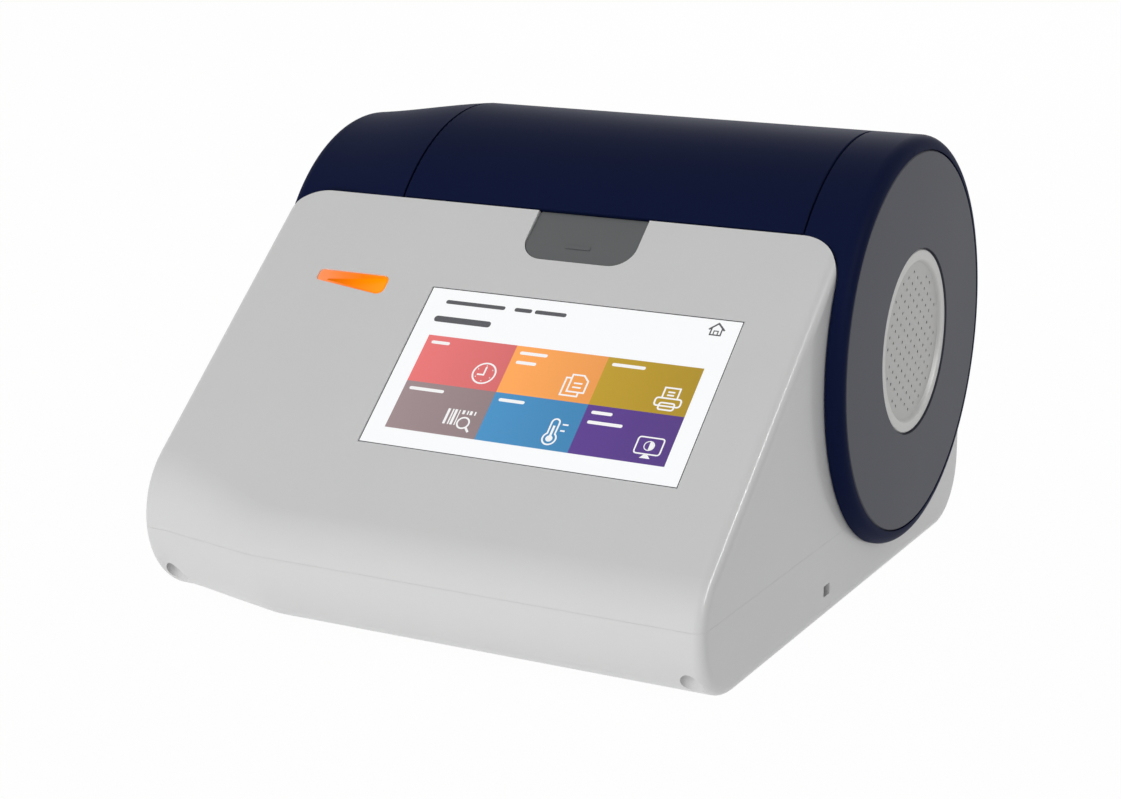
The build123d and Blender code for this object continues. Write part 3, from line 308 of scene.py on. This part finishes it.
def roundRect(x0, x1, t0, t1, radius, steps=5):
    points = []
    for centreX, centreT, start in ((x1 - radius, t1 - radius, 0), (x0 + radius, t1 - radius, 90),
                                    (x0 + radius, t0 + radius, 180), (x1 - radius, t0 + radius, 270)):
        for step in range(steps + 1):
            angle = math.radians(start + 90 * step / steps)
            points.append((centreX + radius * math.cos(angle), centreT + radius * math.sin(angle)))
    return points


def ribbon(points, width, closed=False):  # one quad for each run of a drawn line, with mitred joints
    count = len(points)
    sides = []
    for index in range(count):
        before = points[index - 1] if closed or index else None
        after = points[(index + 1) % count] if closed or index < count - 1 else None
        here = points[index]
        first = direction(before, here) if before else direction(here, after)
        second = direction(here, after) if after else first
        across = (-(first[1] + second[1]), first[0] + second[0])
        size = math.hypot(*across) or 1.0
        across = (across[0] / size, across[1] / size)
        lean = max(0.5, across[0] * -first[1] + across[1] * first[0])
        reach = width / 2 / lean
        sides.append(((here[0] + across[0] * reach, here[1] + across[1] * reach),
                      (here[0] - across[0] * reach, here[1] - across[1] * reach)))
    runs = count if closed else count - 1
    ends = [(sides[index], sides[(index + 1) % count]) for index in range(runs)]
    return [[start[0], end[0], end[1], start[1]] for start, end in ends]


def direction(first, second):
    dx, dt = second[0] - first[0], second[1] - first[1]
    size = math.hypot(dx, dt) or 1.0
    return (dx / size, dt / size)


def ring(x, t, radius, steps=28, start=0.0, sweep=360.0):
    count = steps if sweep >= 360 else steps + 1
    return [(x + radius * math.cos(math.radians(start + sweep * i / steps)),
             t + radius * math.sin(math.radians(start + sweep * i / steps))) for i in range(count)]


def rectangle(x0, x1, t0, t1):
    return [(x0, t0), (x1, t0), (x1, t1), (x0, t1)]


screen = {"left": -28.75, "right": 73.25, "top": 32.85, "bottom": 90.6, "corner": 0.3, "thick": 0.02,
          "panelDepth": 0.10, "tileDepth": 0.07, "inkDepth": 0.04, "line": 0.58, "iconScale": 0.9}
tiles = {"left": -22.5, "top": 50.4, "width": 29.85, "height": 17.0, "glow": 0.92, "lean": 0.10,
         "colours": [[(233, 118, 118), (255, 168, 88), (188, 154, 42)],
                     [(158, 138, 140), (70, 144, 196), (92, 62, 142)]]}


def tileAt(column, row, dx=0.0, dt=0.0):
    return (tiles["left"] + column * tiles["width"] + dx, tiles["top"] + row * tiles["height"] + dt)


paperWhite = glowFinish("paperWhite", (0.96, 0.97, 0.98, 1.0), 0.98)
field = roundRect(screen["left"], screen["right"], screen["top"], screen["bottom"], screen["corner"])
flatPiece("screenField", [field], screen["panelDepth"], screen["thick"], paperWhite)
for row in range(2):
    for column in range(3):
        x0, t0 = tileAt(column, row)
        x1, t1 = x0 + tiles["width"], t0 + tiles["height"]
        tileGlow = glowFinish("tileGlow%d%d" % (row, column), tone(*tiles["colours"][row][column]),
                              tiles["glow"], tiles["lean"], x0, x1)
        flatPiece("tile%d%d" % (row, column), [rectangle(x0, x1, t0, t1)],
                  screen["tileDepth"], screen["thick"], tileGlow)

whiteInk = glowFinish("whiteInk", (0.95, 0.95, 0.95, 1.0), 0.95)
greyInk = glowFinish("greyInk", tone(96, 96, 100), 0.85)
ink = screen["line"]

# symbols about their own centre: closed lines, open lines and filled shapes
dotAngles = [0.5 + index * math.pi / 3 for index in range(6)]
clock = {"at": (0, 0, 23.4, 11.2), "closed": [(ring(0, 0, 4.0), ink)],
         "open": [([(-2.4, 0.6), (0, 0.6), (0, -2.6)], ink)],
         "filled": [ring(3.0 * math.cos(angle), 3.0 * math.sin(angle), 0.2, 8) for angle in dotAngles]}
sheets = {"at": (1, 0, 23.2, 11.2), "closed": [([(-2, -4), (2, -4), (4, -2), (4, 2.6), (-2, 2.6)], ink)],
          "open": [([(-2, -2.6), (-3.8, -2.6), (-3.8, 4.2), (2.2, 4.2), (2.2, 2.6)], ink),
                   ([(-0.6, -0.8), (2.4, -0.8)], ink), ([(-0.6, 0.8), (2.4, 0.8)], ink)]}
printer = {"at": (2, 0, 23.2, 11.9),
           "closed": [(roundRect(-4.4, 4.4, -0.4, 2.6, 0.9, 3), ink),
                      (roundRect(-2.6, 2.6, 1.4, 4.0, 0.7, 3), ink)],
           "open": [([(-2.6, -0.4), (-2.6, -4.4), (2.6, -4.4), (2.6, -0.4)], ink),
                    ([(-1.2, -2.8), (1.2, -2.8)], ink), ([(-1.2, -1.6), (1.2, -1.6)], ink)]}
longBars = ((-5.2, 0.9), (-3.7, 0.5), (-2.6, 0.9), (-1.3, 0.4))  # place and width
shortBars = ((0.2, 0.9), (1.7, 0.5), (2.9, 0.9), (4.4, 0.5))
scanner = {"at": (0, 1, 22.6, 10.8), "closed": [(ring(1.6, 1.4, 2.1, 20), 0.6)],
           "open": ([([(x, -3.4), (x, 2.6)], width) for x, width in longBars]
                    + [([(x, -3.4), (x, -1.9)], width) for x, width in shortBars]
                    + [([(3.2, 3.0), (4.6, 4.6)], 0.8)])}
thermometer = {"at": (1, 1, 22.5, 10.8),
               "closed": [(ring(0, 2.6, 2.3, 20, -55, 290) + ring(0, -3.6, 1.35, 10, 180, 180), ink)],
               "open": [([(0, 2.2), (0, -2.4)], 0.8), ([(2.6, -3.2), (4.6, -3.2)], ink),
                        ([(2.6, -0.8), (4.2, -0.8)], ink)],
               "filled": [ring(0, 2.6, 1.2, 16)]}
monitor = {"at": (2, 1, 23.1, 11.4),
           "closed": [(roundRect(-4.4, 4.4, -3.6, 2.6, 0.9, 3), 0.5), (ring(0, -0.5, 1.7, 20), 0.3)],
           "filled": [ring(0, -0.5, 1.5, 12, -90, 180), [(-0.7, 2.9), (0.7, 2.9), (1.8, 4.2), (-1.8, 4.2)]]}
house = {"open": [([(-2.7, 0.3), (0, -2.3), (2.7, 0.3)], 0.62),
                  ([(-1.8, -0.3), (-1.8, 2.3), (1.8, 2.3), (1.8, -0.3)], 0.5),
                  ([(-0.7, 2.3), (-0.7, 0.7), (0.7, 0.7), (0.7, 2.3)], 0.4)]}


def drawSymbol(symbol, x, t):
    outlines = list(symbol.get("filled", []))
    for points, width in symbol.get("closed", []):
        outlines += ribbon(points, width, True)
    for points, width in symbol.get("open", []):
        outlines += ribbon(points, width)
    scale = screen["iconScale"]
    return [[(x + scale * px, t + scale * pt) for px, pt in outline] for outline in outlines]


marks = []
for symbol in (clock, sheets, printer, scanner, thermometer, monitor):
    marks += drawSymbol(symbol, *tileAt(*symbol["at"]))

# plain bars stand where the captions are
caption = {"margin": 1.9, "pitch": 3.4, "height": 1.1, "corner": 0.5,
           "widths": {(0, 0): [6.2], (1, 0): [9.0, 6.6], (2, 0): [10.6],
                      (0, 1): [11.6], (1, 1): [8.4], (2, 1): [6.6, 11.0]}}
for (column, row), widths in caption["widths"].items():
    for line, width in enumerate(widths):
        x, t = tileAt(column, row, caption["margin"], caption["margin"] + line * caption["pitch"])
        marks.append(roundRect(x, x + width, t, t + caption["height"], caption["corner"], 3))
flatPiece("tileMarks", marks, screen["inkDepth"], screen["thick"], whiteInk)

# header: date and time bars, a title bar and a small house
header = [roundRect(x0, x1, 37.1, 38.5, 0.6, 3) for x0, x1 in ((-22.1, -2.0), (1.2, 7.0), (8.0, 18.4))]
header.append(roundRect(-23.4, -4.2, 43.2, 45.4, 1.0, 4))
header += drawSymbol(house, 66.0, 36.5)
flatPiece("headerMarks", header, screen["inkDepth"], screen["thick"], greyInk)

# a thin dark line drawn round the display's edge
darkEdgeLine = glowFinish("darkEdgeLine", tone(40, 40, 44), 0.8)
edge = {"inset": 0.14, "width": 0.28}
edgeLine = rectangle(screen["left"] + edge["inset"], screen["right"] - edge["inset"],
                     screen["top"] + edge["inset"], screen["bottom"] - edge["inset"])
flatPiece("screenEdge", ribbon(edgeLine, edge["width"], True), screen["inkDepth"], screen["thick"], darkEdgeLine)
print("screen drawn")

# lamp window: the lamp's own orange glow, with painted shade at the left end of the pocket's floor and a
# painted highlight on its walls
lamp = {"left": -70.0, "right": -44.7, "floorLeft": 4.45, "floorRight": 0.78,
        "wallStart": 0.12, "wallGain": 2500.0, "glow": 0.96,
        "floorShadeStops": [(0.0, tone(218, 104, 8)), (0.35, tone(246, 124, 4)),
                       (0.6, tone(255, 140, 0)), (1.0, tone(255, 160, 4))],
        "wallHighlightStops": [(0.0, tone(255, 150, 98)), (0.3, tone(255, 134, 60)),
                      (0.6, tone(255, 126, 14)), (1.0, tone(255, 146, 0))]}
orangeLens = Finish("orangeLens")
glide = ((orangeLens.along("X") - lamp["left"] * mm) / ((lamp["right"] - lamp["left"]) * mm)).clamp()
frost = orangeLens.noise(700.0, 3.0)
# depth under the panel's face
inwards = ((orangeLens.along("Y") - slope["edgeY"] * mm) * math.sin(slope["angle"])
           - (orangeLens.along("Z") - slope["edgeZ"] * mm) * math.cos(slope["angle"]))
floorDepth = (lamp["floorLeft"] + glide * (lamp["floorRight"] - lamp["floorLeft"])) * mm
onWall = ((floorDepth - inwards - lamp["wallStart"] * mm) * lamp["wallGain"]).clamp()
# the floor ramp is darker at the left (painted shade) and the wall ramp paler (painted highlight), laid into
# the lamp's glow
floorGlow = orangeLens.add("ShaderNodeValToRGB", {"stops": lamp["floorShadeStops"]}, {0: glide})
wallGlowHighlight = orangeLens.add("ShaderNodeValToRGB", {"stops": lamp["wallHighlightStops"]}, {0: glide})
glowWithPaintedShade = orangeLens.blend(onWall, floorGlow, wallGlowHighlight)
orangeLens.set(Base_Color=shade(tone(255, 120, 10), 0.08), Roughness=0.3 + frost * 0.1,
               Specular_IOR_Level=0.1, Emission_Color=glowWithPaintedShade, Emission_Strength=lamp["glow"])
dress(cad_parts["lamp_lens"], orangeLens)

# light, floor and camera
camera = {"place": (336.96, -649.49, 248.17), "azimuth": 27.629, "elevation": 14.875, "lens": 77.84}
eye = bpy.data.cameras.new("camera")
eye.lens = camera["lens"]
eye.sensor_width = 36
eye.clip_start = 0.01
eyeObject = bpy.data.objects.new("camera", eye)
eyeObject.location = Vector(camera["place"]) * mm
eyeObject.rotation_euler = (math.radians(90 - camera["elevation"]), 0, math.radians(camera["azimuth"]))
bpy.context.scene.collection.objects.link(eyeObject)
bpy.context.scene.camera = eyeObject


def softLamp(name, place, aim, size, power, roll=0.0):
    light = bpy.data.lights.new(name, "AREA")
    light.shape = "RECTANGLE"
    light.size, light.size_y = size
    light.energy = power
    item = bpy.data.objects.new(name, light)
    item.location = place
    turn = (Vector(aim) - Vector(place)).to_track_quat("-Z", "Y") @ Quaternion((0, 0, 1), math.radians(roll))
    item.rotation_euler = turn.to_euler()
    bpy.context.scene.collection.objects.link(item)
    return item


# place, aim, size, power and roll
# the front lamp gives no mirror image, and the strip gives only one: the light line on the side edge
lamps = {"front": ((-0.2, -1.9, 0.12), (0, 0, 0.03), (2.2, 0.24), 20.5),
         "top": ((-0.1, 0.1, 1.6), (0, 0, 0.05), (1.4, 1.2), 0.6),
         "strip": ((1.42, -0.28, 0.92), (0.09, -0.08, 0.06), (1.1, 0.12), 14.0, 39.0),
         "right": ((1.3, 0.5, 0.7), (0, 0, 0.06), (0.8, 0.8), 0.9),
         "rear": ((-0.4, 1.7, 0.7), (0, 0, 0.06), (1.0, 0.8), 3.0)}
for name, values in lamps.items():
    lampItem = softLamp(name, *values)
    lampItem.visible_glossy = name != "front"
    lampItem.visible_diffuse = name != "strip"

white = (1, 1, 1, 1)


def seen(maker):  # 1 for rays from the camera, straight or by way of metal and glass
    rays = [maker.add("ShaderNodeLightPath", {}, {}, out="Is %s Ray" % kind)
            for kind in ("Camera", "Glossy", "Transmission")]
    return rays[0].largest(rays[1]).largest(rays[2])


studio = {"ambient": 0.40, "backdrop": 1.0, "floorGlow": 0.98}
world = bpy.data.worlds.new("studio")
world.use_nodes = True
bpy.context.scene.world = world
sky = Graph(world.node_tree)
ambient = sky.add("ShaderNodeBackground", {}, {"Color": white, "Strength": studio["ambient"]})
backdrop = sky.add("ShaderNodeBackground", {}, {"Color": white, "Strength": studio["backdrop"]})
mixed = sky.add("ShaderNodeMixShader", {}, {0: seen(sky), 1: ambient, 2: backdrop})
sky.add("ShaderNodeOutputWorld", {}, {0: mixed})


def brightToCamera(made, surface):  # the floor looks white to the camera and still keeps a soft shadow
    shine = made.add("ShaderNodeEmission", {}, {"Color": white, "Strength": 1.0})
    return made.add("ShaderNodeMixShader", {}, {0: seen(made) * studio["floorGlow"], 1: surface, 2: shine})


floor = {"reach": 6.0, "rough": 0.7, "dark": (0.91, 0.91, 0.91, 1), "light": (0.93, 0.93, 0.93, 1)}
floorFinish = Finish("paleFloor", brightToCamera)
floorDust = floorFinish.noise(3.0, 2.0)
floorFinish.set(Base_Color=floorFinish.blend(floorDust, floor["dark"], floor["light"]),
                Roughness=floor["rough"])
floorMesh = bpy.data.meshes.new("floor")
reach = floor["reach"]
floorMesh.from_pydata([(-reach, -reach, 0), (reach, -reach, 0), (reach, reach, 0), (-reach, reach, 0)],
                      [], [(0, 1, 2, 3)])
floorItem = bpy.data.objects.new("floor", floorMesh)
bpy.context.scene.collection.objects.link(floorItem)
floorItem.data.materials.append(floorFinish.material)
bpy.context.scene.view_settings.view_transform = "Standard"
print("studio set")
